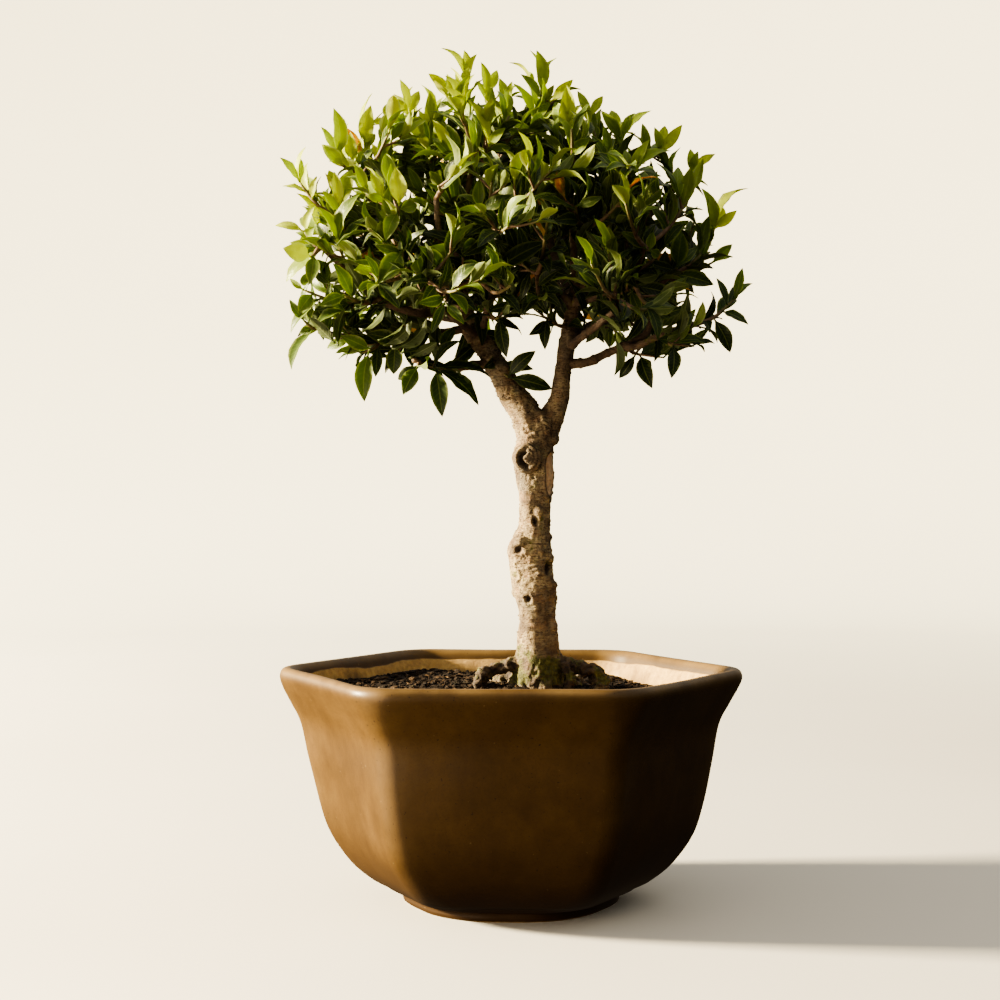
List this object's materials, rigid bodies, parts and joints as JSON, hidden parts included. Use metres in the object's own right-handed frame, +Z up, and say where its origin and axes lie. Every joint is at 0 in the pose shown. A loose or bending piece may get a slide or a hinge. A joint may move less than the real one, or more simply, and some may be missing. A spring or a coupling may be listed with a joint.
{
  "type": "potted bonsai tree",
  "caption": "Small broad-leaved bonsai tree with a forked trunk and a domed crown, planted in soil in a flared hexagonal glazed pot.",
  "frame": {"origin": "middle of the whole object's bounding box, on the surface that the pot's foot stands on", "axes": "+Z up, two of the pot's six corners on the X axis, the flat side under the trunk's knot facing -Y"},
  "size_m": [0.2068, 0.1966, 0.3712],
  "materials": {
    "glaze": "olive brown satin glaze with fine speckles, bare buff clay inside the rim and under the foot",
    "soil": "dark moist potting soil with bark and grit",
    "mesh": "moulded net",
    "bark": "pale grey-buff bark with ring scars and a little moss at the base",
    "leaf": "thin glossy green leaf, lighter below",
    "dry_leaf": "dry fallen leaf"
  },
  "bodies": {
    "root": {"pot": "glaze", "drain_mesh": "mesh", "soil": "soil", "wood": "bark", "spray_01": "leaf", "spray_02": "leaf", "spray_03": "leaf", "spray_04": "leaf", "spray_05": "leaf", "spray_06": "leaf", "spray_07": "leaf", "spray_08": "leaf", "spray_09": "leaf", "spray_10": "leaf", "spray_11": "leaf", "spray_12": "leaf", "spray_13": "leaf", "spray_14": "leaf", "spray_15": "leaf", "spray_16": "leaf", "spray_17": "leaf", "spray_18": "leaf", "spray_19": "leaf", "spray_20": "leaf", "spray_21": "leaf", "spray_22": "leaf", "spray_23": "leaf", "spray_24": "leaf", "spray_25": "leaf", "spray_26": "leaf", "spray_27": "leaf", "spray_28": "leaf", "spray_29": "leaf", "spray_30": "leaf", "spray_31": "leaf", "spray_32": "leaf", "spray_33": "leaf", "spray_34": "leaf", "spray_35": "leaf", "spray_36": "leaf", "spray_37": "leaf", "spray_38": "leaf", "spray_39": "leaf", "spray_40": "leaf", "spray_41": "leaf", "spray_42": "leaf", "spray_43": "leaf", "spray_44": "leaf", "spray_45": "leaf", "spray_46": "leaf", "spray_47": "leaf", "spray_48": "leaf", "spray_49": "leaf", "spray_50": "leaf", "spray_51": "leaf", "spray_52": "leaf", "fallen_leaf_yellow": "dry_leaf", "fallen_leaf_brown": "dry_leaf"}
  },
  "joints": []
}
